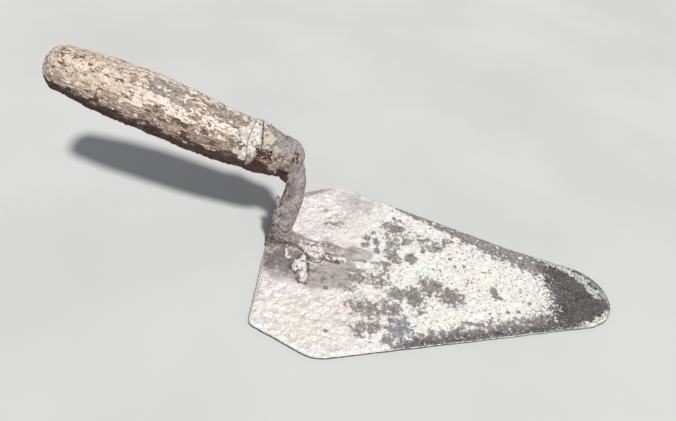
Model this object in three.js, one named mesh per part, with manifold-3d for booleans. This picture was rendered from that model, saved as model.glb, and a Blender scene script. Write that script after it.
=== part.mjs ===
// Brick trowel: a worn steel blade, a forged cranked shank with its rib and tang,
// a steel ferrule, a turned wooden handle and the mortar that has dried on the foot.
// Millimetres. X runs from the heel to the tip, Z is up out of the blade's face,
// and the origin is on the blade's flat underside, below the foot of the shank.

import * as THREE from 'three';
import * as BufferGeometryUtils from 'three/addons/utils/BufferGeometryUtils.js';
import Module from 'manifold-3d';

const wasm = await Module();
wasm.setup();

// Clearance between neighbouring pieces, and a length larger than the whole tool,
// for the blocks that cut it.
const GAP = 0.3;
const BEYOND = 400;

// Blade: corners of its outline before rounding, each as [x, y, radius]. The far
// side (+Y) is worn narrower than the near side, and bends inwards at the knee.
const BLADE_THICKNESS = 2.0;
const TIP_THICKNESS = 1.2;
const GRIND_START_X = 60;
const BLADE_CORNERS = [
  [-9, -64.7, 5],
  [30, -82.8, 20],
  [282.7, -4.5, 26],
  [150, 28.7, 150],
  [32, 68.3, 28],
  [-9, 46.3, 4],
];
const TIP_X = 212;
const CORNER_STEP = THREE.MathUtils.degToRad(6);

// Shank: the riser's centre line as [x, z], from inside the rib up to the elbow.
const SHANK_RADIUS = 5.8;
const RISER_LINE = [[-1, -8], [-1, 6], [-0.8, 16], [1.4, 30], [4.4, 45], [5.2, 57], [3.6, 66]];
const ELBOW = new THREE.Vector3(-0.3, 0, 72);

// Rib: the tapered tail of the shank that lies on the blade. Its crest is [x, z].
const RIB_HEEL_X = -6.8;
const RIB_END_X = 52;
const RIB_CREST = [[5.5, 12.5], [10, 9], [20, 6.4], [34, 4.2]];
const RIB_FOOT_HALF_WIDTH = 6.4;
const RIB_END_HALF_WIDTH = 2.6;
const RIB_END_HEIGHT = 0.6;
const RIB_HEEL_ROUNDING = 0.6;
const RIB_END_ROUNDING = 0.9;
const WELD_WIDTH = 2.0;
const WELD_HEIGHT = 2.4;
const WELD_SLOPE = 1.4;

// Handle axis: it leaves the elbow towards the butt, rising and turned a little
// to the far side. Places along it are distances from the elbow.
const HANDLE_PITCH = THREE.MathUtils.degToRad(13.8);
const HANDLE_YAW = THREE.MathUtils.degToRad(3.2);
const FERRULE_SMALL_END = 4.4;
const FERRULE_GROOVE = 16.6;
const FERRULE_MOUTH = 23;
const HANDLE_END = 136.5;

// Elbow: [distance, radius] of the swollen end of the shank, and its spigot.
const ELBOW_END = -9.2;
const ELBOW_NOSE = [[-8.6, 3.2], [-7.2, 6.0], [-5.0, 8.1], [-2.0, 9.4]];
const ELBOW_SHOULDER_RADIUS = 10.2;
const SPIGOT_RADIUS = 8.2;
const SPIGOT_END = 8.4;
const SPIGOT_TAPER = 0.6;

const FERRULE_WALL = 1.3;
const FERRULE_SMALL_RADIUS = 10.4;
const FERRULE_BAND_RADIUS = 13.6;
const FERRULE_CHAMFER = 0.5;
const GROOVE_DEPTH = 0.5;
const GROOVE_HALF_WIDTH = 0.6;

// Wood: [distance, radius] along the grip, then a rounded butt.
const GRIP_PROFILE = [
  [23.3, 13.3],
  [33, 13.6],
  [48, 14.2],
  [68, 15.5],
  [86, 16.0],
  [102, 15.4],
  [115, 14.0],
  [125, 12.5],
];
const NOSE_END = 9.2;
const TANG_START = 2;
const TANG_END = 98;
const TANG_ROOT_RADIUS = 5.4;
const TANG_TIP_RADIUS = 2.4;
const BORE_CLEARANCE = 0.5;
const BORE_END = 100;

// Dried mortar: domes as [x, y, half length, half width, height, turn in degrees].
const LONG_LOBE = [
  [14.0, -13.4, 4.8, 4.4, 6.2, 0],
  [15.6, -19, 5.2, 4.8, 5.5, 0],
  [17.8, -24.8, 3.9, 4.2, 4.2, 0],
];
const SHORT_LOBE = [[22.8, -10.6, 3.4, 2.6, 6.0, 15], [27.0, -10.2, 3.8, 2.6, 5.2, -10]];
const STREAK = [[37, -8.4, 6.6, 1.9, 2.4, 12], [45, -7.2, 5.0, 1.5, 1.8, 6]];
const HEEL_FOLD = [[2.5, -12.2, 5.4, 3.0, 6.5, 0]];

const ROUND_SEGMENTS = 36;
const DOME_SEGMENTS = 20;

// Materials

function finish(color, roughness, metalness) {
  return new THREE.MeshStandardMaterial({ color, roughness, metalness });
}

const rustySteel = () => finish(0x8d8384, 0.75, 0.4);
const filmedSteel = () => finish(0xc4bab8, 0.85, 0.25);
const weatheredWood = () => finish(0xb59f86, 0.9, 0);
const driedMortar = () => finish(0xd2cac5, 0.95, 0);

// Solids

function toSolid(geometry) {
  const bare = geometry.clone();
  bare.deleteAttribute('normal');
  bare.deleteAttribute('uv');
  const merged = BufferGeometryUtils.mergeVertices(bare, 1e-4);
  const triVerts = new Uint32Array(merged.index.array);
  const vertProperties = new Float32Array(merged.attributes.position.array);
  return new wasm.Manifold(new wasm.Mesh({ numProp: 3, vertProperties, triVerts }));
}

function toGeometry(solid) {
  const mesh = solid.getMesh();
  const geometry = new THREE.BufferGeometry();
  geometry.setAttribute('position', new THREE.BufferAttribute(mesh.vertProperties, 3));
  geometry.setIndex(new THREE.BufferAttribute(mesh.triVerts, 1));
  geometry.computeVertexNormals();
  return geometry;
}

function joinAll(solids) {
  return solids.reduce((whole, piece) => whole.add(piece));
}

// Everything below the blade's upper face, as one large block.
function belowFaceSolid() {
  const block = new THREE.BoxGeometry(2 * BEYOND, 2 * BEYOND, BEYOND);
  block.translate(0, 0, BLADE_THICKNESS - BEYOND / 2);
  return toSolid(block);
}

// A profile of [distance, radius] turned about the handle axis.
function turned(profile) {
  const points = profile.map(([along, radius]) => new THREE.Vector2(radius, along));
  return new THREE.LatheGeometry(points, ROUND_SEGMENTS);
}

// A closed outline whose corners [x, y, radius] are rounded with tangent arcs.
function roundedOutline(corners) {
  const points = [];
  corners.forEach(([x, y, radius], index) => {
    const corner = new THREE.Vector2(x, y);
    const before = new THREE.Vector2(...corners.at(index - 1));
    const after = new THREE.Vector2(...corners[(index + 1) % corners.length]);
    const back = before.sub(corner).normalize();
    const ahead = after.sub(corner).normalize();
    const halfAngle = Math.acos(back.dot(ahead)) / 2;
    const bisector = back.clone().add(ahead).normalize();
    const centre = corner.clone().addScaledVector(bisector, radius / Math.sin(halfAngle));
    const entry = corner.clone().addScaledVector(back, radius / Math.tan(halfAngle)).sub(centre);
    const turn = Math.PI - 2 * halfAngle;
    const sense = Math.sign(ahead.cross(back));
    const steps = Math.max(1, Math.round(turn / CORNER_STEP));
    for (let step = 0; step <= steps; step += 1) {
      const arm = entry.clone().rotateAround(new THREE.Vector2(), (sense * turn * step) / steps);
      points.push(arm.add(centre));
    }
  });
  return new THREE.Shape(points);
}

// The frame of the handle: +Y of the group runs along the handle axis to the butt.
function handleFrame() {
  const group = new THREE.Group();
  const direction = new THREE.Vector3(
    -Math.cos(HANDLE_PITCH) * Math.cos(HANDLE_YAW),
    Math.cos(HANDLE_PITCH) * Math.sin(HANDLE_YAW),
    Math.sin(HANDLE_PITCH),
  );
  group.position.copy(ELBOW);
  group.quaternion.setFromUnitVectors(new THREE.Vector3(0, 1, 0), direction);
  group.updateMatrixWorld();
  return group;
}

// Blade: a flat plate, ground thinner towards the tip on its upper face.
function bladeGeometry() {
  const outline = roundedOutline(BLADE_CORNERS);
  const plate = new THREE.ExtrudeGeometry(outline, { depth: BLADE_THICKNESS, bevelEnabled: false });
  const fall = BLADE_THICKNESS - TIP_THICKNESS;
  const grind = new THREE.BoxGeometry(BEYOND, BEYOND, BEYOND);
  grind.translate(BEYOND / 2, 0, BEYOND / 2);
  grind.rotateY(Math.atan2(fall, TIP_X - GRIND_START_X));
  grind.translate(GRIND_START_X, 0, BLADE_THICKNESS);
  return toGeometry(toSolid(plate).subtract(toSolid(grind)));
}

// Rib outline seen from above: a tongue that narrows towards its rounded end.
function ribPlan(grow) {
  const foot = RIB_FOOT_HALF_WIDTH + grow;
  const end = RIB_END_HALF_WIDTH + grow;
  const heelRadius = foot * RIB_HEEL_ROUNDING;
  const endRadius = end * RIB_END_ROUNDING;
  return roundedOutline([
    [RIB_HEEL_X - grow, -foot, heelRadius],
    [RIB_END_X + grow, -end, endRadius],
    [RIB_END_X + grow, end, endRadius],
    [RIB_HEEL_X - grow, foot, heelRadius],
  ]);
}

// Rib solid: its side outline, extruded across the blade, within its plan.
function ribSolid() {
  const side = new THREE.Shape();
  side.moveTo(RIB_HEEL_X, 0);
  side.lineTo(RIB_END_X, 0);
  side.lineTo(RIB_END_X, RIB_END_HEIGHT);
  const crest = RIB_CREST.map(([x, z]) => new THREE.Vector2(x, z - BLADE_THICKNESS));
  side.splineThru(crest.reverse());
  side.lineTo(RIB_HEEL_X, crest.at(-1).y);
  side.closePath();
  const width = 2 * RIB_FOOT_HALF_WIDTH;
  const across = new THREE.ExtrudeGeometry(side, { depth: width, bevelEnabled: false, curveSegments: 8 });
  across.rotateX(Math.PI / 2);
  across.translate(0, width / 2, BLADE_THICKNESS);
  const height = crest.at(-1).y;
  const above = new THREE.ExtrudeGeometry(ribPlan(0), { depth: height, bevelEnabled: false });
  above.translate(0, 0, BLADE_THICKNESS);
  return toSolid(across).intersect(toSolid(above));
}

// Riser: a round bar swept along its centre line.
function riserSolid() {
  const line = new THREE.CatmullRomCurve3(RISER_LINE.map(([x, z]) => new THREE.Vector3(x, 0, z)));
  const section = new THREE.Shape().absarc(0, 0, SHANK_RADIUS, 0, 2 * Math.PI);
  const bar = new THREE.ExtrudeGeometry(section, { steps: 28, extrudePath: line, curveSegments: 10 });
  return toSolid(bar);
}

// Tang: a tapered square spike along the handle axis.
function tangSolid(frame) {
  const length = TANG_END - TANG_START;
  const tang = new THREE.CylinderGeometry(TANG_TIP_RADIUS, TANG_ROOT_RADIUS, length, 4);
  tang.translate(0, TANG_START + length / 2, 0);
  tang.applyMatrix4(frame.matrixWorld);
  return toSolid(tang);
}

// Elbow: a blunt cone along the handle axis, stepped down to a spigot in the ferrule.
function elbowSolid(frame) {
  const shoulder = FERRULE_SMALL_END - GAP;
  const elbow = turned([
    [ELBOW_END, 0],
    ...ELBOW_NOSE,
    [shoulder, ELBOW_SHOULDER_RADIUS],
    [shoulder, SPIGOT_RADIUS],
    [SPIGOT_END, SPIGOT_RADIUS - SPIGOT_TAPER],
    [SPIGOT_END, 0],
  ]);
  elbow.applyMatrix4(frame.matrixWorld);
  return toSolid(elbow);
}

// Shank: rib, riser, swollen elbow and tang, forged as one and cut flat below.
function shankGeometry(frame) {
  const whole = joinAll([ribSolid(), riserSolid(), elbowSolid(frame), tangSolid(frame)]);
  return toGeometry(whole.subtract(belowFaceSolid()));
}

// Weld: a sloping bead on the blade, all round the foot and the rib.
function weldGeometry() {
  const bead = new THREE.ExtrudeGeometry(ribPlan(GAP + WELD_WIDTH - WELD_SLOPE), {
    depth: WELD_HEIGHT - WELD_SLOPE,
    bevelThickness: WELD_SLOPE,
    bevelSize: WELD_SLOPE,
    bevelSegments: 3,
  });
  bead.translate(0, 0, BLADE_THICKNESS);
  const core = new THREE.ExtrudeGeometry(ribPlan(GAP), { depth: BEYOND, bevelEnabled: false });
  return toGeometry(toSolid(bead).subtract(toSolid(core)).subtract(belowFaceSolid()));
}

// Ferrule: a conical sleeve with a plain band, and a groove, at its wide mouth.
function ferruleGeometry() {
  const inside = [FERRULE_SMALL_END, FERRULE_SMALL_RADIUS - FERRULE_WALL];
  return turned([
    inside,
    [FERRULE_SMALL_END, FERRULE_SMALL_RADIUS - FERRULE_CHAMFER],
    [FERRULE_SMALL_END + FERRULE_CHAMFER, FERRULE_SMALL_RADIUS],
    [FERRULE_GROOVE - GROOVE_HALF_WIDTH, FERRULE_BAND_RADIUS],
    [FERRULE_GROOVE, FERRULE_BAND_RADIUS - GROOVE_DEPTH],
    [FERRULE_GROOVE + GROOVE_HALF_WIDTH, FERRULE_BAND_RADIUS],
    [FERRULE_MOUTH, FERRULE_BAND_RADIUS],
    [FERRULE_MOUTH, FERRULE_BAND_RADIUS - FERRULE_WALL],
    inside,
  ]);
}

// The grip's outside, from just past the ferrule to the end of the butt.
function gripOutside() {
  const curve = new THREE.SplineCurve(GRIP_PROFILE.map((point) => new THREE.Vector2(...point)));
  const side = curve.getPoints(20);
  const last = side.at(-1);
  const butt = new THREE.EllipseCurve(last.x, 0, HANDLE_END - last.x, last.y, Math.PI / 2, 0, true);
  const outside = [...side, ...butt.getPoints(8).slice(1, -1)].map((point) => point.toArray());
  return [...outside, [HANDLE_END, 0]];
}

// Handle: turned wood with a nose inside the ferrule and a tapered bore for the tang.
function handleGeometry() {
  const mouthInside = FERRULE_BAND_RADIUS - FERRULE_WALL;
  const smallInside = FERRULE_SMALL_RADIUS - FERRULE_WALL;
  const share = (NOSE_END - FERRULE_SMALL_END) / (FERRULE_MOUTH - FERRULE_SMALL_END);
  const noseInside = THREE.MathUtils.lerp(smallInside, mouthInside, share);
  const shoulder = FERRULE_MOUTH + GAP;
  return turned([
    [BORE_END, 0],
    [BORE_END, TANG_TIP_RADIUS + BORE_CLEARANCE],
    [NOSE_END, TANG_ROOT_RADIUS + BORE_CLEARANCE],
    [NOSE_END, noseInside - 2 * GAP],
    [shoulder, mouthInside - 2 * GAP],
    ...gripOutside(),
  ]);
}

// One dome of mortar, standing on the blade's upper face.
function domeSolid([x, y, halfLength, halfWidth, height, turn]) {
  const arc = new THREE.EllipseCurve(0, 0, 1, height, 0, Math.PI / 2).getPoints(6).slice(0, -1);
  const profile = [new THREE.Vector2(0, 0), ...arc, new THREE.Vector2(0, height)];
  const dome = new THREE.LatheGeometry(profile, DOME_SEGMENTS);
  dome.rotateX(Math.PI / 2);
  dome.scale(halfLength, halfWidth, 1);
  dome.rotateZ(THREE.MathUtils.degToRad(turn));
  dome.translate(x, y, BLADE_THICKNESS);
  return toSolid(dome);
}

function mortarGeometry(domes) {
  return toGeometry(joinAll(domes.map(domeSolid)));
}

// Assembly

function part(name, geometry, material) {
  const mesh = new THREE.Mesh(geometry, material);
  mesh.name = name;
  return mesh;
}

const trowel = new THREE.Group();
const grip = handleFrame();
grip.add(
  part('ferrule', ferruleGeometry(), rustySteel()),
  part('handle', handleGeometry(), weatheredWood()),
);
trowel.add(
  part('blade', bladeGeometry(), filmedSteel()),
  part('shank', shankGeometry(grip), rustySteel()),
  part('rib_weld', weldGeometry(), rustySteel()),
  grip,
  part('mortar_long_lobe', mortarGeometry(LONG_LOBE), driedMortar()),
  part('mortar_short_lobe', mortarGeometry(SHORT_LOBE), driedMortar()),
  part('mortar_streak', mortarGeometry(STREAK), driedMortar()),
  part('mortar_heel_fold', mortarGeometry(HEEL_FOLD), driedMortar()),
);

export default trowel;
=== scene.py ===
"""Brick trowel, looks: a mortar-filmed steel blade, a crusted shank and ferrule, a weathered handle."""

import itertools
import math

import bmesh
import bpy
import numpy as np
from mathutils import Matrix, Vector
from mathutils.geometry import delaunay_2d_cdt


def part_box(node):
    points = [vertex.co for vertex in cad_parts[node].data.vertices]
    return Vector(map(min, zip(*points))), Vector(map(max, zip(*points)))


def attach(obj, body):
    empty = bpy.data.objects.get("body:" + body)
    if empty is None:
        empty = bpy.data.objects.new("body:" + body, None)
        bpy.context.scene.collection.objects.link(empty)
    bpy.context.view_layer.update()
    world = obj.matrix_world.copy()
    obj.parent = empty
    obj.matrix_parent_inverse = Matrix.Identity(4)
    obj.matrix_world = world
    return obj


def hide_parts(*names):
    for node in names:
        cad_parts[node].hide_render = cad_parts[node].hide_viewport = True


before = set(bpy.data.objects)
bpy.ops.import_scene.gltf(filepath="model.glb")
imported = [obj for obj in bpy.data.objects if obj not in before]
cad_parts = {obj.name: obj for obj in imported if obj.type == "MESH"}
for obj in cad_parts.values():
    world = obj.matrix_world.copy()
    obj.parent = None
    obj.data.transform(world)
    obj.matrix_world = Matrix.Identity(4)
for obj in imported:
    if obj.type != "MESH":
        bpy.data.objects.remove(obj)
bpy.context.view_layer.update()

# Shapes are worked out in millimetres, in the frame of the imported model, and scaled to metres
# when a mesh is made.
MM = 0.001
BODY = "root"


# ---- frame measurements


def columns(*parts):
    """Arrays set side by side as the columns of one."""
    return np.column_stack(parts)


def rows_of(source, key):
    """A mesh's vectors as an array with a row for each."""
    numbers = np.zeros(len(source) * 3)
    source.foreach_get(key, numbers)
    return numbers.reshape(-1, 3)


def points_of(mesh):
    return rows_of(mesh.vertices, "co") / MM


def normals_of(mesh):
    return rows_of(mesh.vertex_normals, "vector")


def cad_points(node):
    """The corners of a CAD node's mesh, in millimetres."""
    return points_of(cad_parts[node].data)


def box_mm(node):
    low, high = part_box(node)
    return np.array(low) / MM, np.array(high) / MM


def unit(vector):
    return vector / np.linalg.norm(vector)


def unit_rows(rows):
    return rows / np.linalg.norm(rows, axis=1)[:, None]


TIP_X, _, BLADE_THICKNESS = box_mm("blade")[1]

# The handle's axis runs from the middle of the ferrule towards the butt. UP and NEAR are
# square to it: NEAR is the side that the blade's wide corner is on.
FERRULE_MIDDLE = cad_points("ferrule").mean(0)
AXIS = unit(cad_points("handle").mean(0) - FERRULE_MIDDLE)
UP = unit(np.array([0.0, 0.0, 1.0]) - AXIS[2] * AXIS)
NEAR = np.cross(UP, AXIS)


def along_axis(points):
    """Places along the handle's axis, from the ferrule's small end, and distances from it."""
    reach = points - FERRULE_MIDDLE
    along = reach @ AXIS
    return along, np.linalg.norm(reach - along[:, None] * AXIS, axis=1)


def outer_profile(node):
    """The outside of a turned CAD node as [place along the axis, radius], in order."""
    along, radius = along_axis(cad_points(node))
    widest = {}
    for place, size in zip(along.round(2), radius):
        widest[place] = max(size, widest.get(place, 0.0))
    return np.array(sorted(widest.items()))


FERRULE_PROFILE = outer_profile("ferrule")
HANDLE_PROFILE = outer_profile("handle")
SMALL_END = FERRULE_PROFILE[0, 0]
MOUTH = FERRULE_PROFILE[-1, 0]
BUTT = HANDLE_PROFILE[-1, 0]
# Where the seam between the cone and the plain band of the ferrule runs.
GROOVE = SMALL_END + 12.2


# ---- noise

LATTICE = 256
NOISE_GAIN = 1.7


def noise(points, size, seed):
    """Smooth noise of about -1 to 1 at each point, with features about size across."""
    draw = np.random.default_rng(seed)
    order = draw.permutation(LATTICE)
    slopes = unit_rows(draw.normal(size=(LATTICE, 3)))
    place = points / size + draw.uniform(0, LATTICE, 3)
    cell = np.floor(place).astype(int)
    inside = place - cell
    ease = inside**3 * (inside * (inside * 6 - 15) + 10)
    total = np.zeros(len(points))
    for corner in itertools.product((0, 1), repeat=3):
        key = cell + corner
        pick = order[key[:, 0] % LATTICE]
        pick = order[(pick + key[:, 1]) % LATTICE]
        pick = order[(pick + key[:, 2]) % LATTICE]
        weight = np.prod(np.where(corner, ease, 1 - ease), axis=1)
        total += weight * np.einsum("ij,ij->i", slopes[pick], inside - corner)
    return NOISE_GAIN * total


def layered(points, size, seed, layers=3, keep=0.5):
    """Noise summed over ever finer layers, each keep times as strong as the one before."""
    return sum(keep**k * noise(points, size / 2**k, seed + k) for k in range(layers))


def rise(values, low, high):
    """0 below low, 1 above high, and a smooth rise between."""
    share = np.clip((values - low) / (high - low), 0, 1)
    return share * share * (3 - 2 * share)


def fall(values, low, high):
    """1 below low, 0 above high, and a smooth fall between."""
    return rise(-values, -high, -low)


def half(field):
    """A field of about -1 to 1 as a share of 0 to 1, for a mask."""
    return np.clip(0.5 + 0.5 * field, 0, 1)


def blob(u, v, centre_u, centre_v, half_u, half_v, strength, turn=0):
    """A soft ellipse: its strength in the middle, 0 at its edge and less outside."""
    angle = math.radians(turn)
    du, dv = u - centre_u, v - centre_v
    x = (du * math.cos(angle) + dv * math.sin(angle)) / half_u
    y = (dv * math.cos(angle) - du * math.sin(angle)) / half_v
    return strength * (1 - x * x - y * y)


def blobs(u, v, spots):
    """The strongest blob at each place, or -1. Spots are [u, v, half u, half v, strength, turn],
    and the turn, in degrees, may be left out."""
    field = np.full(len(u), -1.0)
    for spot in spots:
        field = np.maximum(field, blob(u, v, *spot))
    return field


# ---- mesh making


def placed(name, data):
    """A new object in the scene."""
    item = bpy.data.objects.new(name, data)
    bpy.context.scene.collection.objects.link(item)
    return item


def add_piece(name, points, faces, material, slot, *nodes, masks):
    """A smooth mesh object from points in millimetres that rides on the part and stands for nodes."""
    mesh = bpy.data.meshes.new(name)
    mesh.from_pydata((np.asarray(points) * MM).tolist(), [], [list(map(int, f)) for f in faces])
    mesh.validate()
    for key, values in masks.items():
        write_mask(mesh, key, values)
    mesh.shade_smooth()
    mesh.materials.append(material)
    settle(placed(name, mesh), slot, *nodes)


def write_mask(mesh, key, values):
    """A colour attribute from three numbers for each point."""
    colour = np.ones((len(values), 4), np.float32)
    colour[:, :3] = values
    mesh.attributes.new(key, "FLOAT_COLOR", "POINT").data.foreach_set("color", colour.ravel())


def settle(piece, slot, *nodes):
    """Makes a piece ride on the part and stand for its CAD nodes. The slot is not used."""
    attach(piece, BODY)
    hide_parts(*nodes)


def move_points(mesh, points):
    mesh.vertices.foreach_set("co", (points * MM).astype(np.float32).ravel())
    mesh.update()


def apply_modifiers(piece):
    graph = bpy.context.evaluated_depsgraph_get()
    graph.update()
    fused = bpy.data.meshes.new_from_object(piece.evaluated_get(graph))
    old = piece.data
    piece.modifiers.clear()
    piece.data = fused
    bpy.data.meshes.remove(old)


def fused_piece(name, shapes, voxel, material, rounds):
    """One closed mesh round several overlapping shapes, each a bmesh-filling function, smoothed
    in several rounds."""
    build = bmesh.new()
    for shape in shapes:
        shape(build)
    mesh = bpy.data.meshes.new(name)
    build.to_mesh(mesh)
    build.free()
    piece = placed(name, mesh)
    skin = piece.modifiers.new("skin", "REMESH")
    skin.mode = "VOXEL"
    skin.voxel_size = voxel * MM
    soften = piece.modifiers.new("soften", "SMOOTH")
    soften.factor = 0.5
    soften.iterations = rounds
    apply_modifiers(piece)
    piece.data.shade_smooth()
    piece.data.materials.append(material)
    return piece


def lump(x, y, z, half_x, half_y, half_z, turn=0.0):
    """A shape for fused_piece: an ellipsoid centred at x, y, z."""
    place = Matrix.LocRotScale(
        Vector((x, y, z)) * MM,
        Matrix.Rotation(math.radians(turn), 3, "Z"),
        Vector((half_x, half_y, half_z)) * MM,
    )
    return lambda build: bmesh.ops.create_icosphere(build, subdivisions=3, radius=1, matrix=place)


def cad_shape(node):
    """A shape for fused_piece: a CAD node's own solid."""
    return lambda build: build.from_mesh(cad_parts[node].data)


# ---- materials


def tone(red, green, blue):
    """A colour given as screen values 0 to 255, as the linear colour that a shader takes."""
    linear = [((c / 255 + 0.055) / 1.055) ** 2.4 if c > 10 else c / 3295 for c in (red, green, blue)]
    return (*linear, 1.0)


class Finish:
    """A node material under construction, with one Principled shader."""

    def __init__(self, name):
        self.material = bpy.data.materials.new(name)
        self.material.use_nodes = True
        self.nodes = self.material.node_tree.nodes
        self.links = self.material.node_tree.links
        self.shader = self.nodes["Principled BSDF"]

    def put(self, socket, value):
        if isinstance(value, bpy.types.NodeSocket):
            self.links.new(value, socket)
        else:
            socket.default_value = value

    def masks(self, key):
        """The three shares that write_mask stored under key."""
        source = self.nodes.new("ShaderNodeAttribute")
        source.attribute_name = key
        split = self.nodes.new("ShaderNodeSeparateColor")
        self.links.new(source.outputs["Color"], split.inputs[0])
        return split.outputs[0], split.outputs[1], split.outputs[2]

    def place(self, stretch=(1, 1, 1), key=None):
        """Object space, or the stored place under key, scaled unevenly."""
        if key:
            source = self.nodes.new("ShaderNodeAttribute")
            source.attribute_name = key
            start = source.outputs["Vector"]
        else:
            start = self.nodes.new("ShaderNodeTexCoord").outputs["Object"]
        scale = self.nodes.new("ShaderNodeMapping")
        scale.inputs["Scale"].default_value = stretch
        self.links.new(start, scale.inputs["Vector"])
        return scale.outputs["Vector"]

    def noise(self, place, size, detail, rough=0.55, warp=0.0):
        """Noise of 0 to 1 with features about size millimetres across."""
        node = self.nodes.new("ShaderNodeTexNoise")
        self.links.new(place, node.inputs["Vector"])
        node.inputs["Scale"].default_value = 1 / (size * MM)
        node.inputs["Detail"].default_value = detail
        node.inputs["Roughness"].default_value = rough
        node.inputs["Distortion"].default_value = warp
        return node.outputs["Fac"]

    def math(self, kind, first, second):
        node = self.nodes.new("ShaderNodeMath")
        node.operation = kind
        self.put(node.inputs[0], first)
        self.put(node.inputs[1], second)
        return node.outputs[0]

    def times(self, first, second):
        return self.math("MULTIPLY", first, second)

    def plus(self, first, second):
        return self.math("ADD", first, second)

    def minus(self, first, second):
        return self.math("SUBTRACT", first, second)

    def swing(self, source, size):
        """Noise of 0 to 1 as a swing of size about zero."""
        return self.times(self.minus(source, 0.5), size)

    def step(self, value, low, high, start=0.0, end=1.0):
        """start below low, end above high, and a smooth change between."""
        node = self.nodes.new("ShaderNodeMapRange")
        node.interpolation_type = "SMOOTHSTEP"
        keys = ("Value", "From Min", "From Max", "To Min", "To Max")
        for key, number in zip(keys, (value, low, high, start, end)):
            self.put(node.inputs[key], number)
        return node.outputs[0]

    def mix(self, share, first, second):
        """A colour between first and second."""
        node = self.nodes.new("ShaderNodeMix")
        node.data_type = "RGBA"
        self.put(node.inputs[0], share)
        self.put(node.inputs[6], first)
        self.put(node.inputs[7], second)
        return node.outputs[2]

    def grade(self, source, low, high, first, second):
        """A colour that turns from first to second as source rises from low to high."""
        return self.mix(self.step(source, low, high), tone(*first), tone(*second))

    def fleck(self, under, source, low, high, start, end, colour):
        """A colour laid over another, in a share that goes from start to end as source rises."""
        return self.mix(self.step(source, low, high, start, end), under, tone(*colour))

    def wash(self, under, mask, share, colour):
        """A colour laid over another, in a share of a mask."""
        return self.mix(self.times(mask, share), under, tone(*colour))

    def blend(self, share, first, second):
        """A number between first and second."""
        node = self.nodes.new("ShaderNodeMix")
        self.put(node.inputs[0], share)
        self.put(node.inputs[2], first)
        self.put(node.inputs[3], second)
        return node.outputs[0]

    def bumps(self, broad, broad_depth, fine, fine_depth, strength):
        """Fine bumps laid over broad ones. Depths are in millimetres."""
        return self.bump(fine, fine_depth, strength, self.bump(broad, broad_depth, 1.0))

    def bump(self, height, depth, strength, under=None):
        node = self.nodes.new("ShaderNodeBump")
        node.inputs["Strength"].default_value = strength
        node.inputs["Distance"].default_value = depth * MM
        self.links.new(height, node.inputs["Height"])
        if under:
            self.links.new(under, node.inputs["Normal"])
        return node.outputs["Normal"]

    def finish(self, colour, roughness, normal, metallic=0.0, specular=0.5):
        self.put(self.shader.inputs["Base Color"], colour)
        self.put(self.shader.inputs["Roughness"], roughness)
        self.put(self.shader.inputs["Metallic"], metallic)
        self.put(self.shader.inputs["Specular IOR Level"], specular)
        self.links.new(normal, self.shader.inputs["Normal"])
        return self.material


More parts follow.
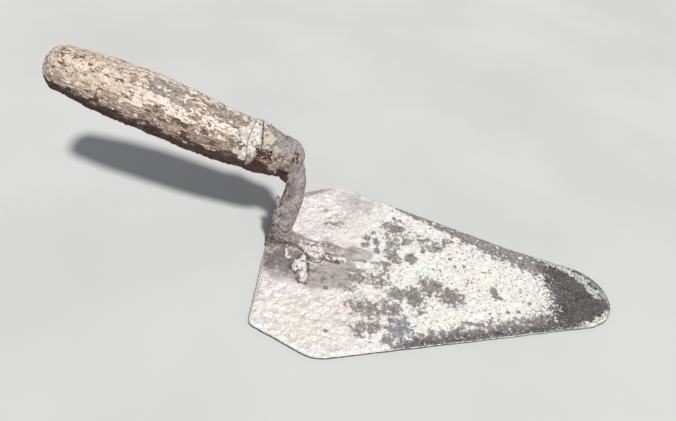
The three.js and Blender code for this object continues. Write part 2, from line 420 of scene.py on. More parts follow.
def film_finish():
    """Dried mortar film on steel. Masks: film_bare is (bare steel, smooth drag, worn edge and painted
    glints), film_tint is (dark tip, warm, cool), film_more is (specks, dirt and painted shadow, red)."""
    f = Finish("mortar_film_on_steel")
    place = f.place()
    bare_field, drag, edge = f.masks("film_bare")
    tip_field, warm, cool = f.masks("film_tint")
    speckled, grime_and_shade, red = f.masks("film_more")
    broad = f.noise(place, 16, 4, 0.6, 0.4)
    patch = f.noise(place, 6, 5, 0.65, 0.5)
    chips = f.noise(place, 2.8, 5, 0.65, 0.6)
    grit = f.noise(place, 1.3, 4, 0.62, 0.3)
    specks = f.noise(place, 1.7, 3, 0.6, 0.8)
    dust = f.noise(place, 0.8, 2, 0.6)

    # Mortar: pinkish off-white sandy film, warmer and cooler in places, greyer where it was
    # dragged smooth, with fine dark pits.
    crust = f.grade(broad, 0.38, 0.62, (226, 217, 217), (236, 232, 227))
    mottle = f.times(f.step(patch, 0.38, 0.54, 0.8, 0.0), f.blend(speckled, 1.0, 0.35))
    crust = f.mix(mottle, crust, tone(200, 191, 190))
    crust = f.wash(crust, warm, f.step(chips, 0.3, 0.6, 0.3, 0.9), (230, 225, 211))
    crust = f.wash(crust, cool, 0.7, (234, 239, 236))
    # Painted shade: the crust is greyer in the hollows of its bumps.
    hollow_shade = f.step(chips, 0.40, 0.50, 0.5, 0.0)
    crust = f.wash(crust, hollow_shade, f.blend(speckled, 1.0, 0.5), (188, 179, 177))
    crust = f.fleck(crust, grit, 0.42, 0.50, 0.4, 0.0, (176, 166, 162))
    crust = f.fleck(crust, dust, 0.54, 0.66, 0.0, 0.8, (250, 247, 243))
    dragged = f.grade(patch, 0.36, 0.62, (140, 132, 131), (178, 170, 169))
    dragged = f.fleck(dragged, grit, 0.54, 0.7, 0.0, 0.5, (206, 199, 196))
    drag_edge = f.plus(drag, f.plus(f.swing(chips, 0.8), f.swing(patch, 0.8)))
    crust = f.mix(f.step(drag_edge, 0.15, 0.75), crust, dragged)
    crust = f.wash(crust, speckled, 0.35, (238, 240, 233))
    pit_limit = f.blend(speckled, 0.68, 0.605)
    pits = f.step(f.minus(specks, pit_limit), 0.0, 0.04, 0.0, 0.85)
    crust = f.mix(pits, crust, tone(98, 90, 88))

    # Steel where the film has thinned or come away, and the dark worn steel of the tip.
    steel = f.grade(chips, 0.40, 0.60, (118, 113, 111), (158, 153, 150))
    steel = f.fleck(steel, grit, 0.53, 0.62, 0.0, 0.75, (196, 190, 187))
    steel = f.fleck(steel, dust, 0.36, 0.44, 0.6, 0.0, (92, 86, 85))
    steel = f.wash(steel, cool, 0.7, (140, 144, 154))
    dark = f.grade(broad, 0.35, 0.65, (84, 79, 80), (104, 99, 100))
    dark = f.fleck(dark, grit, 0.45, 0.62, 0.0, 0.4, (64, 58, 58))
    dark = f.fleck(dark, dust, 0.56, 0.64, 0.0, 0.8, (170, 166, 165))
    ragged = f.plus(f.plus(f.swing(chips, 0.7), f.swing(grit, 0.9)), f.swing(dust, 0.6))
    ragged = f.times(ragged, f.step(bare_field, 0.05, 0.3))
    dithered = f.plus(f.plus(f.swing(chips, 0.7), f.swing(grit, 1.8)), f.swing(dust, 1.6))
    dithered = f.times(dithered, f.step(tip_field, 0.05, 0.3))
    thin = f.step(f.plus(bare_field, f.times(ragged, 0.8)), 0.46, 0.56)
    bare = f.step(f.plus(bare_field, ragged), 0.56, 0.61)
    tip = f.step(f.plus(tip_field, dithered), 0.48, 0.58)
    colour = f.wash(crust, thin, 0.7, (192, 186, 183))
    colour = f.mix(bare, colour, steel)
    colour = f.mix(tip, colour, dark)
    # Grime at the foot, and painted shadow along the crevices under the mortar lumps.
    colour = f.fleck(colour, f.plus(grime_and_shade, f.swing(chips, 0.5)), 0.35, 0.75, 0.0, 0.9, (84, 76, 75))
    worn = f.plus(f.plus(edge, f.swing(chips, 0.9)), f.swing(grit, 0.8))
    worn = f.step(worn, 0.45, 0.58)
    # The worn edge is pale along the sides, and at the tip a green-grey: painted reflection of green
    # surroundings on the worn steel.
    side_edge = f.grade(grit, 0.4, 0.6, (190, 190, 187), (240, 240, 238))
    tip_edge = f.grade(chips, 0.4, 0.6, (128, 142, 134), (186, 194, 188))
    colour = f.mix(worn, colour, f.mix(cool, side_edge, tip_edge))
    colour = f.mix(red, colour, tone(192, 92, 94))

    rough = f.blend(bare, 0.88, 0.62)
    rough = f.blend(tip, rough, 0.5)
    rough = f.blend(worn, rough, 0.4)
    metal = f.math("MAXIMUM", f.times(bare, 0.2), f.times(worn, 0.35))
    metal = f.math("MAXIMUM", metal, f.times(tip, 0.3))
    height = f.minus(chips, f.times(pits, 0.7))
    height = f.minus(height, f.times(bare, 0.5))
    height = f.minus(height, f.times(tip, 0.5))
    height = f.times(height, f.blend(drag, 1.0, 0.35))
    normal = f.bumps(height, 0.7, grit, 0.35, 0.9)
    return f.finish(colour, rough, normal, metal)


def crusted_steel_finish(name):
    """Steel under rough mortar. Masks: crust_marks is (rust and painted shade on undersides, pale
    film, dark pits), crust_tint is (beige, yellow, painted shade and dark spots)."""
    f = Finish(name)
    place = f.place()
    rust_and_shade_field, film_field, pit_field = f.masks("crust_marks")
    beige, yellow, shade_and_dark_spots = f.masks("crust_tint")
    broad = f.noise(place, 8, 5, 0.6, 0.5)
    chips = f.noise(place, 2.4, 5, 0.65, 0.7)
    grit = f.noise(place, 1.0, 3, 0.6)
    ragged = f.times(f.minus(chips, 0.5), 1.3)
    crust = f.grade(broad, 0.38, 0.62, (140, 130, 129), (168, 158, 156))
    crust = f.fleck(crust, chips, 0.42, 0.52, 0.7, 0.0, (108, 97, 95))
    crust = f.fleck(crust, grit, 0.54, 0.66, 0.0, 0.7, (204, 196, 192))
    sandy = f.grade(chips, 0.42, 0.58, (98, 82, 77), (162, 145, 136))
    sandy = f.fleck(sandy, grit, 0.52, 0.66, 0.0, 0.7, (206, 192, 172))
    crust = f.mix(f.step(f.plus(beige, f.times(ragged, 0.7)), 0.35, 0.6), crust, sandy)
    film = f.grade(chips, 0.36, 0.56, (180, 173, 168), (226, 220, 212))
    film = f.mix(yellow, film, f.grade(grit, 0.4, 0.6, (182, 168, 146), (234, 225, 208)))
    film = f.fleck(film, chips, 0.56, 0.64, 0.0, 0.8, (196, 184, 170))
    film = f.fleck(film, grit, 0.52, 0.62, 0.0, 0.8, (128, 118, 110))
    # Dark rust, which on the undersides also stands as painted shade.
    rust_and_shade = f.grade(chips, 0.38, 0.62, (48, 22, 20), (88, 44, 38))
    rust_and_shade = f.fleck(rust_and_shade, grit, 0.56, 0.70, 0.0, 0.7, (112, 68, 62))
    colour = f.mix(f.step(f.plus(film_field, ragged), 0.46, 0.62), crust, film)
    rust_and_shade_share = f.step(f.plus(rust_and_shade_field, ragged), 0.46, 0.60)
    colour = f.mix(rust_and_shade_share, colour, rust_and_shade)
    # Painted shade in hollows and on sides turned from the light, and dark spots.
    colour = f.fleck(colour, shade_and_dark_spots, 0.35, 0.9, 0.0, 0.85, (66, 56, 55))
    pitted = f.step(f.plus(pit_field, f.times(ragged, 0.6)), 0.5, 0.6)
    colour = f.mix(pitted, colour, f.grade(grit, 0.45, 0.6, (40, 28, 26), (96, 64, 56)))
    rough = f.blend(rust_and_shade_share, 0.86, 0.7)
    metal = f.times(rust_and_shade_share, 0.12)
    height = f.minus(chips, f.times(pitted, 0.6))
    normal = f.bumps(height, 0.7, grit, 0.25, 0.9)
    return f.finish(colour, rough, normal, metal)


def lump_finish():
    """Dried mortar lumps: rough and pale, with painted shade on their undersides, dark spots, and
    painted light on their upward faces. Mask lump_marks is (painted shade and dark spots, painted
    light, the same shade again, which nothing reads)."""
    f = Finish("dried_mortar")
    place = f.place()
    shade_and_dark_spots, pale, _ = f.masks("lump_marks")
    chips = f.noise(place, 2.2, 5, 0.65, 0.6)
    grit = f.noise(place, 1.0, 3, 0.6)
    colour = f.grade(chips, 0.38, 0.58, (150, 141, 138), (206, 198, 194))
    # Painted light: paler on the upward faces.
    colour = f.wash(colour, pale, 0.75, (236, 230, 226))
    colour = f.fleck(colour, grit, 0.50, 0.64, 0.0, 0.7, (122, 113, 110))
    colour = f.fleck(colour, shade_and_dark_spots, 0.25, 0.8, 0.0, 0.9, (72, 64, 63))
    normal = f.bumps(chips, 0.6, grit, 0.25, 0.9)
    return f.finish(colour, f.step(grit, 0.3, 0.7, 0.82, 0.95), normal)


def wood_finish():
    """Weathered wood. grain_place holds (along, up, near) from the axis; wood_marks is (pit, grey
    stain, pale flake), wood_tint is (red-brown spots and painted shade on the underside, mortar
    film, green) and wood_more is (aged, zero, zero)."""
    f = Finish("weathered_wood")
    long_place = f.place((0.16, 1, 1), "grain_place")
    fine_place = f.place((0.4, 1, 1), "grain_place")
    place = f.place((1, 1, 1), "grain_place")
    pit_field, stain, flake = f.masks("wood_marks")
    brown, film_field, green = f.masks("wood_tint")
    aged, _, _ = f.masks("wood_more")
    fibre = f.noise(long_place, 1.4, 5, 0.65, 0.3)
    strand = f.noise(fine_place, 1.05, 5, 0.68, 0.6)
    broad = f.noise(place, 11, 4, 0.55, 0.5)
    chips = f.noise(place, 2.6, 5, 0.65, 0.6)
    grit = f.noise(place, 1.0, 3, 0.6)
    ragged = f.plus(f.swing(strand, 1.1), f.swing(chips, 0.7))

    wood = f.grade(fibre, 0.38, 0.62, (104, 87, 79), (160, 140, 129))
    wood = f.fleck(wood, broad, 0.4, 0.65, 0.0, 0.5, (160, 142, 118))
    wood = f.fleck(wood, strand, 0.52, 0.62, 0.0, 0.8, (90, 74, 65))
    wood = f.fleck(wood, grit, 0.54, 0.64, 0.0, 0.6, (200, 180, 164))
    wood = f.fleck(wood, grit, 0.36, 0.46, 0.6, 0.0, (92, 74, 66))
    wood = f.fleck(wood, strand, 0.38, 0.45, 0.75, 0.0, (214, 196, 183))
    pale = f.grade(broad, 0.4, 0.6, (236, 221, 212), (226, 212, 199))
    pale = f.fleck(pale, chips, 0.52, 0.62, 0.0, 0.6, (250, 242, 234))
    pale = f.fleck(pale, strand, 0.50, 0.58, 0.0, 0.85, (158, 134, 120))
    beige = f.grade(chips, 0.42, 0.60, (184, 166, 147), (222, 208, 191))
    beige = f.fleck(beige, grit, 0.52, 0.64, 0.0, 0.5, (166, 146, 124))
    pale = f.mix(f.times(aged, 0.8), pale, beige)
    wood = f.wash(wood, aged, 0.35, (186, 166, 146))
    grey = f.grade(chips, 0.38, 0.60, (113, 104, 94), (156, 146, 135))
    grey = f.fleck(grey, grit, 0.54, 0.64, 0.0, 0.7, (200, 192, 182))
    wood = f.mix(f.step(f.plus(stain, f.times(ragged, 0.8)), 0.48, 0.58), wood, grey)
    wood = f.mix(f.step(f.plus(flake, ragged), 0.50, 0.60), wood, pale)
    film = f.grade(chips, 0.40, 0.58, (182, 173, 166), (224, 216, 209))
    film = f.fleck(film, grit, 0.55, 0.66, 0.0, 0.6, (150, 138, 130))
    wood = f.mix(f.step(f.plus(film_field, ragged), 0.46, 0.60), wood, film)
    dusk = f.grade(fibre, 0.38, 0.62, (36, 21, 19), (78, 50, 44))
    dusk = f.fleck(dusk, strand, 0.5, 0.62, 0.0, 0.5, (122, 94, 82))
    # Red-brown spots, and painted shade on the underside, in dark red-brown.
    wood = f.mix(f.step(f.plus(brown, ragged), 0.36, 0.76), wood, dusk)
    wood = f.mix(f.times(green, f.step(strand, 0.3, 0.6, 0.4, 1.0)), wood, tone(112, 104, 66))
    pits = f.step(f.plus(pit_field, f.times(ragged, 0.8)), 0.5, 0.6)
    wood = f.mix(f.times(pits, 0.9), wood, f.grade(grit, 0.4, 0.6, (66, 50, 42), (112, 92, 74)))
    height = f.minus(f.minus(chips, f.times(strand, 0.8)), f.times(pits, 0.7))
    normal = f.bumps(height, 0.6, grit, 0.2, 0.8)
    return f.finish(wood, f.step(chips, 0.3, 0.7, 0.78, 0.92), normal)


# ---- blade

# The radius of the blade's rounded edges, and the rows that make each.
EDGE_ROUND = 0.5
EDGE_STEPS = 4
# Point spacing round the outline, on the face and on the underside, how far points inside stray
# from their grid as a share of it, and how deep the rings next to the edge are.
RIM_STEP = 0.7
FACE_STEP = 0.56
UNDER_STEP = 1.5
GRID_JITTER = 0.15
RIM_DEPTHS = [1.6, 0.9]
# The underside has the face's marks, mirrored and shifted.
UNDER_SHIFT = (0, -8)

# Spots on the blade, for blobs, as [x, y, half x, half y, strength, turn]. Where the film has come
# away:
BARE_SPOTS = [
    [74, 30, 9, 8, 0.6], [68, 33, 6, 4, 0.5, 10], [82, 20, 4.5, 4.5, 0.6], [73, 16, 5.5, 9, 0.5, 5],
    [72, 4, 5.5, 8, 0.55, 5], [55, 18, 3.4, 3, 0.7], [54.5, 11, 3.2, 3.6, 0.7], [61, 15, 2.8, 4.2, 0.6],
    [62, 6.5, 3, 3.2, 0.7], [58, 23, 3, 2.4, 0.4], [84.5, 4, 4.8, 5.1, 1.3, 20],
    [49, -17, 10, 8, 0.7, -5], [64, -19, 8, 7, 0.6], [51, -4, 5, 2, 0.5, -8], [97, -19, 10, 9, 0.9],
    [109, -24, 10, 9, 0.9], [93, -14, 5, 6, 0.7], [86, -28, 7, 9, 0.9, 10], [75, -28, 7, 6, 0.5],
    [56, -43, 11, 8, 0.7, -5], [72, -41, 11, 8, 0.55, -10], [61, -56, 4.5, 7, 0.75, -20],
    [54, -58, 6, 6, 0.6], [77, -55, 10, 9, 0.75, 15], [70, -63, 5, 4.5, 0.6],
    [136.2, -14.2, 2.8, 4.8, 2.2, 15], [138.2, -18.8, 4.4, 1.7, 2.2, -10], [133, 1.5, 4.6, 0.9, 0.8, -3],
    [36, 36, 5, 5, 0.35, 30], [33, 27, 8, 3, 0.42, 10], [26, 41, 5, 4, 0.3], [30, 32, 3, 2, 0.4],
    [99, 18, 8, 5, 0.6, 15], [108, 24, 4, 3.4, 0.6], [121, -9, 4, 3, 0.5], [117, -44, 4, 3, 0.6],
    [124, -43, 4.4, 2.8, 0.6], [92, 24, 6, 5, 0.45], [66, -5, 6, 5, 0.4], [44, -27, 7, 4, 0.4, -20],
    [89, -38, 5, 5, 0.3],
]
# Where it is whole and white:
WHOLE_SPOTS = [
    [138, -12, 26, 19, 1.5], [96, -3, 12, 9, 1.4], [114, -2, 18, 12, 1], [128, -30, 20, 8, 0.8],
    [14, -54, 34, 22, 1], [40, 44, 36, 18, 0.8],
]
# Single dark dots, as [x, y, size].
DOTS = [
    [73, 41, 1.2], [34.7, -62.8, 1.2], [31.8, -30.8, 1.5], [68, -3, 1], [92, 12, 1.2], [110, 9, 1],
    [113, 3, 1], [96, 25, 1.3], [150, -28, 1.1], [158, -20, 1], [77, 40, 1], [112, 26, 1.2], [119, 4, 1],
    [143, -30, 1.1],
]
# Specks of red paint, in the same form.
RED_DOTS = [[44, -42, 1.25], [68, -55, 1.05]]
# Where the film is warmer or cooler in colour, was dragged smooth, and is grimy, with one spot of
# painted shade among the grimy ones.
WARM_SPOTS = [
    [98, -46, 24, 16, 1.2, -10], [136, -8, 28, 16, 0.7], [96, 28, 18, 9, 0.6, -10],
    [14, -58, 26, 16, 0.7, -30],
]
COOL_SPOTS = [
    [94, -4, 15, 10, 1.1], [58, 46, 20, 11, 1, -15], [78, -56, 10, 11, 1.1, 10],
    [44, 60, 16, 8, 0.6, -10],
]
DRAG_SPOTS = [
    [4, -15, 16, 18, 1.3], [22, -22, 22, 13, 1.1, -10], [36, -8, 16, 9, 0.9, -8],
    [22, 0, 34, 7.5, 1.6, -4], [-4, 6, 9, 16, 1.2], [50, 2, 13, 8, 1, -5], [34, -20, 18, 14, 1.2],
    [48, 50, 26, 18, 0.5, -15], [12, 55.5, 24, 5, 1.1, 28],
]
# The long thin spot at y 8.5 is painted shade along the rib's far side; the others are grime.
GRIME_AND_SHADE_SPOTS = [
    [4, -12, 20, 15, 1], [28, -19, 16, 10, 0.5], [24, 8.5, 24, 1.8, 0.5, -6], [30, -14, 12, 6, 0.4],
    [50, -4.5, 3, 1, 0.5, 20], [-5, 2, 4, 4, 0.5],
]
# The most grime there is away from the crevices.
GRIME_LIMIT = 0.6
# Painted shadow in the crevices under the edges of the mortar lumps, each a line of [x, y].
CREVICE_SHADOWS = [
    [
        [14.2, -7.6], [12.2, -11.5], [9.6, -15.5], [8.9, -19.5], [12.4, -22.6], [13.8, -25.6],
        [16.0, -29.2], [19.4, -29.4],
    ],
    [[18.2, -9.8], [20.2, -10.6], [23.5, -11.6], [26.6, -10.6], [28.8, -7.2]],
    [[3.4, -3.6], [4.2, -8.4], [5.6, -12.0], [8.0, -11.6]],
    [[30.5, -8.6], [34, -9.2], [38.5, -8.4]],
    [[19.4, -13], [20.0, -18], [20.8, -23]],
]
CREVICE_SHADOW_WIDTH = 1.65
# The bright scrape along the far side of the tip, as a line of [x, y].
SCRAPE = [[170, 23.5], [180, 20], [190, 14.5], [198, 7.5], [204, -4]]
SCRAPE_WIDTH = 5.0


def blade_outline():
    """The blade's plan from its CAD underside, in order round its middle."""
    points = cad_points("blade")
    floor = points[points[:, 2] < 1e-3][:, :2]
    plan = np.unique(floor.round(3), axis=0)
    turn = np.arctan2(*(plan - plan.mean(0)).T[::-1])
    return plan[np.argsort(turn)]


def resampled(loop, step):
    """A closed loop with points evenly spaced along it."""
    closed = np.vstack([loop, loop[:1]])
    lengths = np.linalg.norm(np.diff(closed, axis=0), axis=1)
    reach = np.concatenate([[0], np.cumsum(lengths)])
    places = np.linspace(0, reach[-1], int(reach[-1] / step), endpoint=False)
    return np.stack([np.interp(places, reach, closed[:, k]) for k in (0, 1)], 1)


def inward(loop):
    """Directions into an anticlockwise loop, square to it."""
    ahead = unit_rows(np.roll(loop, -2, 0) - np.roll(loop, 2, 0))
    return np.stack([-ahead[:, 1], ahead[:, 0]], 1)


def near_line(points, line):
    """The distance from each point to an open line of points."""
    best = np.full(len(points), np.inf)
    for start, end in zip(np.array(line[:-1], float), np.array(line[1:], float)):
        way = end - start
        share = np.clip((points - start) @ way / (way @ way), 0, 1)
        best = np.minimum(best, np.linalg.norm(points - start - share[:, None] * way, axis=1))
    return best


def depth_inside(points, loop):
    """How far each point is inside a closed loop, or less than 0 outside it."""
    inside = np.zeros(len(points), bool)
    x, y = points.T
    for (start_x, start_y), (end_x, end_y) in zip(loop, np.roll(loop, -1, 0)):
        spans = (start_y > y) != (end_y > y)
        crossing = start_x + (y - start_y) * (end_x - start_x) / (end_y - start_y + 1e-12)
        inside ^= spans & (x < crossing)
    return near_line(points, np.vstack([loop, loop[:1]])) * np.where(inside, 1, -1)


def flat(points):
    return columns(points, np.zeros(len(points)))


# The middle of the rib, from inside its foot to short of its end.
RIB_LOW, RIB_HIGH = box_mm("rib_weld")
RIB_LINE = [[RIB_LOW[0] + 8, 0], [RIB_HIGH[0] - 4, 0]]


def plate_top(x):
    """Height of the blade's steel face: level, then ground thinner towards the tip."""
    points = cad_points("blade")
    tip_height = points[points[:, 0] > TIP_X - 1][:, 2].max()
    grind_start = points[points[:, 2] > BLADE_THICKNESS - 0.02][:, 0].max()
    share = np.clip((x - grind_start) / (TIP_X - grind_start), 0, 1)
    return BLADE_THICKNESS - share * (BLADE_THICKNESS - tip_height)


def gated(field, gate):
    """A field that is -1 where the gate is shut."""
    return (field + 1) * gate - 1


def film_masks(plan, depth):
    """Where the film is bare, dragged, worn, dark, warm, cool, speckled, grimy and red, and where
    painted shadow and painted glints lie, at places on the blade."""
    x, y = plan.T
    wander = layered(flat(plan), 7, 11, 3)
    ragged = layered(flat(plan), 3, 17, 4, 0.62)
    far_side = rise(y, -14, -2)
    # Patches and dots of bare steel.
    bare = 0.8 * blobs(x, y, BARE_SPOTS) + 0.2 * wander + 0.5 * ragged - 0.08
    bare -= 0.3 * np.clip(blobs(x, y, WHOLE_SPOTS), 0, 1)
    for dot_x, dot_y, size in DOTS:
        bare = np.maximum(bare, 1.6 - 1.2 * np.hypot(x - dot_x, y - dot_y) / size)
    # Bands along the two long edges, wider towards the tip.
    far_band = 3.2 + 0.18 * np.clip(x - 75, 0, None) + 2.4 * wander
    along_far = gated((far_band - depth) / (0.7 * far_band), far_side * rise(x, 50, 85))
    near_band = 9.0 + 0.06 * np.clip(x - 90, 0, None) + 2.0 * wander
    near_gate = (1 - far_side) * rise(x, 58, 84)
    along_near = gated((near_band - depth) / near_band, near_gate)
    bare = np.maximum(bare, np.minimum(1.4 * along_near, 0.54) + 0.6 * ragged * near_gate)
    bare = np.maximum(bare, np.minimum(1.4 * along_far, 0.52) + 0.6 * ragged * far_side)
    # The dark tip, which runs back along both edges, and a dark line along the near edge.
    tip = (x - 171.5) / 10 + 0.25 * wander + 0.35 * ragged
    near_dark = gated((4.2 + 0.8 * wander - depth) / 2.6, near_gate)
    tip_bands = [(along_far, rise(x, 155, 182)), (along_near, rise(x, 135, 178)), (near_dark, near_gate)]
    for band, gate in tip_bands:
        tip = np.maximum(tip, gated(0.5 * band + 0.3 * ragged, gate))
    # The tip's rim: speckled with film on the near side, and worn bright round the end.
    speckled_rim = fall(depth + 1.5 * wander, 4, 8) * fall(y, -18, -10) * rise(x, 180, 192)
    rim_width = 1.4 + 3.4 * rise(x, 196, 205) * rise(y, -14, -4) + 0.8 * ragged
    worn_rim = rise(rim_width - depth, -0.5, 0.5) * rise(x, 160, 180)
    tip = tip * (1 - speckled_rim) - 0.08 * speckled_rim - 1.2 * worn_rim
    bare *= 1 - speckled_rim
    side_wall = fall(depth, 0.02, 0.12)
    tip = np.maximum(tip, 3 * side_wall - 1)
    # Bright worn steel: the very edge, the scrape and the tip's rim; and painted glints, as highlights,
    # along the far edge.
    scrape = near_line(plan, SCRAPE) + 2.2 * ragged + 1.2 * wander
    edge = fall(depth, 0.4, 1.0) * (1 - side_wall) * (0.7 + 0.3 * wander)
    edge = np.maximum(edge, 0.6 * fall(scrape, SCRAPE_WIDTH / 2, SCRAPE_WIDTH))
    edge = np.maximum(edge, 0.62 * worn_rim * (1 - side_wall))
    # Painted highlight: glints along the far edge.
    glints = fall(depth, 1.0, 2.4) * rise(x, 112, 126) * rise(wander + 0.6 * ragged, 0.0, 0.4)
    edge = np.maximum(edge, 0.8 * glints * far_side * (1 - side_wall))
    drag = np.clip(blobs(x, y, DRAG_SPOTS) + 0.2 * wander, 0, 1)
    warm = np.clip(blobs(x, y, WARM_SPOTS), 0, 1)
    cool = np.clip(np.maximum(blobs(x, y, COOL_SPOTS), worn_rim), 0, 1)
    specks = rise(x, 40, 75) * (1 - 0.4 * drag)
    # Grime at the foot, and painted shadow along the crevices under the mortar lumps.
    grime_and_shade = blobs(x, y, GRIME_AND_SHADE_SPOTS)
    grime_and_shade += (0.35 * wander + 0.25 * ragged) * rise(grime_and_shade, -0.3, 0.3)
    grime_and_shade = np.clip(grime_and_shade, 0, GRIME_LIMIT)
    for line in CREVICE_SHADOWS:
        crevice_shadow = 1.15 - near_line(plan, line) / CREVICE_SHADOW_WIDTH
        grime_and_shade = np.maximum(grime_and_shade, crevice_shadow + 0.45 * wander + 0.45 * ragged)
    grime_and_shade = np.clip(grime_and_shade, 0, 1)
    red = np.zeros(len(x))
    for dot_x, dot_y, size in RED_DOTS:
        reach = np.hypot(x - dot_x, y - dot_y) + 0.5 * ragged
        red = np.maximum(red, fall(reach, 0.6 * size, size))
    return (
        columns(half(bare), drag, edge),
        columns(half(tip), warm, cool),
        columns(specks, grime_and_shade, red),
    )


# Height of the trowelled plaster at the heel, of the film itself, and of the fillet along the rib.
PLASTER = 0.62
FILM_HEIGHT = 0.4
FILLET_HEIGHT = 3.4


def film_relief(plan, depth, bare, drag):
    """Height of the film over the steel."""
    x = plan[:, 0]
    filmed = 1 - rise(bare, 0.52, 0.64)
    plaster = PLASTER * layered(flat(plan), 3.6, 37, 4, 0.66) * (1 - 0.6 * drag)
    lumps = 0.22 * layered(flat(plan), 9, 31, 3) + plaster * (1 - 0.45 * rise(x, 30, 70))
    reach = 9.0 - 0.1 * np.clip(x, 0, 60)
    near_rib = np.clip(1 - near_line(plan, RIB_LINE) / reach, 0, 1)
    fillet = FILLET_HEIGHT * near_rib**2 * fall(x, 40, 58)
    height = 0.25 + FILM_HEIGHT * filmed + lumps * (0.35 + 0.65 * filmed) + fillet
    return height * rise(depth, 0.2, 2.5)


def triangulated(rim, step, seed):
    """Points and triangles that fill the rim, whose own points come first."""
    low, high = rim.min(0), rim.max(0)
    grid = np.stack(np.meshgrid(*(np.arange(low[k], high[k], step) for k in (0, 1))), -1).reshape(-1, 2)
    grid += np.random.default_rng(seed).uniform(-GRID_JITTER, GRID_JITTER, grid.shape) * step
    inner = grid[depth_inside(grid, blade_outline()) > RIM_DEPTHS[0] + step]
    points = np.vstack([rim, inner])
    count = len(rim)
    edges = [(k, (k + 1) % count) for k in range(count)]
    made = delaunay_2d_cdt([Vector(p) for p in points], edges, [], 1, 1e-5)
    return np.array([tuple(p) for p in made[0]]), [tuple(face) for face in made[2]]


def bridged(first, second, count):
    """Faces between two closed rings that start at first and second."""
    ahead = [(k + 1) % count for k in range(count)]
    return [(first + k, first + ahead[k], second + ahead[k], second + k) for k in range(count)]


def edge_drop(depth):
    """How far the blade's rounded edge is below its face, at a depth inside the outline."""
    share = np.clip(1 - depth / EDGE_ROUND, 0, 1)
    return EDGE_ROUND * (1 - np.sqrt(1 - share * share))


def upper_section(plan, depth):
    """Points and masks of the filmed face at places on the plan."""
    bare, tint, more = film_masks(plan, depth)
    relief = film_relief(plan, depth, bare[:, 0], bare[:, 1])
    heights = plate_top(plan[:, 0]) + relief - edge_drop(depth)
    return columns(plan, heights), bare, tint, more


def under_section(plan, depth):
    """Points and masks of the underside, whose film lies otherwise than the face's."""
    bare, tint, more = film_masks(plan * [1, -1] + UNDER_SHIFT, depth)
    bare[:, 1] *= 0.3
    more[:, 1:] = 0
    uneven = np.clip(0.06 + 0.05 * layered(flat(plan), 12, 41, 3), 0, 0.2)
    return columns(plan, uneven + edge_drop(depth)), bare, tint, more


def side_section(plan, depth):
    """Points and masks half way down the blade's edge."""
    bare, tint, more = film_masks(plan, depth)
    return columns(plan, plate_top(plan[:, 0]) / 2), bare, tint, more


def blade_piece(material):
    outline = resampled(blade_outline(), RIM_STEP)
    into = inward(outline)
    into = unit_rows(sum(np.roll(into, shift, 0) for shift in range(-3, 4)))
    wear = 0.12 + 0.3 * np.clip(layered(flat(outline), 14, 5, 3) + 0.2, 0, 1)
    count = len(outline)

    def ring(depth):
        return outline + into * (wear + depth)[:, None]

    turns = np.linspace(0, math.pi / 2, EDGE_STEPS + 1)
    rounding = list(EDGE_ROUND * (1 - np.sin(turns)))
    inset = RIM_DEPTHS[0]
    face, face_faces = triangulated(ring(inset), FACE_STEP, 3)
    under, under_faces = triangulated(ring(inset), UNDER_STEP, 4)
    sections = [upper_section(face, depth_inside(face, blade_outline()))]
    for depth in RIM_DEPTHS[1:] + rounding[::-1]:
        sections.append(upper_section(ring(depth), np.full(count, depth)))
    sections.append(side_section(ring(0.05), np.zeros(count)))
    for depth in rounding + RIM_DEPTHS[:0:-1]:
        sections.append(under_section(ring(depth), np.full(count, depth)))
    sections.append(under_section(under, depth_inside(under, blade_outline())))
    starts = np.cumsum([0] + [len(section[0]) for section in sections])
    faces = list(face_faces)
    for upper, lower in zip(starts[:-2], starts[1:-1]):
        faces.extend(bridged(lower, upper, count))
    faces.extend([tuple(starts[-2] + corner for corner in face[::-1]) for face in under_faces])
    points, bare, tint, more = (np.vstack(kind) for kind in zip(*sections))
    masks = {"film_bare": bare, "film_tint": tint, "film_more": more}
    add_piece("blade_filmed", points, faces, material, "blade_film", "blade", masks=masks)


# ---- handle and ferrule


def turned_mesh(places, radii, turns):
    """Points of a surface turned about the handle's axis: places along it, radii, angles, degrees
    of -180 to 180, where 0 is up and 90 is near, and [along, up, near] for noise and grain."""
    angles = np.linspace(0, 2 * math.pi, turns, endpoint=False)
    along = np.repeat(places, turns)
    radius = np.repeat(radii, turns)
    angle = np.tile(angles, len(places))
    degrees = (np.degrees(angle) + 180) % 360 - 180
    core = columns(along, radius * np.cos(angle), radius * np.sin(angle))
    return along, radius, angle, degrees, core


def turned_points(along, radius, angle):
    around = np.cos(angle)[:, None] * UP + np.sin(angle)[:, None] * NEAR
    return FERRULE_MIDDLE + along[:, None] * AXIS + radius[:, None] * around


# Growth of the radius, and shift of the middle towards the near underside, in millimetres at
# places along the axis from the middle of the ferrule.
ROUNDER = [
    [-15, -9, -2.7, 3, 9, 16, 22, 28, 36, 44, 52, 60, 68, 112],
    [1.4, 1.5, 1.0, 0.8, 0.6, 0.7, 1.1, 1.3, 1.3, 1.0, 0.5, 0.3, -0.1, 0.0],
]
SUNK = [
    [-15, -9, -2.7, 3, 9, 16, 28, 38, 52, 66],
    [2.4, 2.1, 1.6, 1.3, 1.3, 1.9, 1.9, 1.4, 0.6, 0.1],
]
SUNK_TOWARDS = 140


def swelling(along, angle):
    """How far the used handle stands out of its turned shape, along the axis and round it. Its
    near underside is fuller from the elbow to the middle of the grip."""
    sunk = np.interp(along, *SUNK) * np.cos(angle - math.radians(SUNK_TOWARDS))
    return np.interp(along, *ROUNDER) + sunk


def turned_faces(rows, turns):
    """Faces between the rows of a turned surface, pointing out."""
    faces = []
    for row in range(rows - 1):
        here = row * turns
        faces.extend(bridged(here + turns, here, turns))
    return faces


MOUTH_SLANT = 2.2
SLANT_REACH = 6


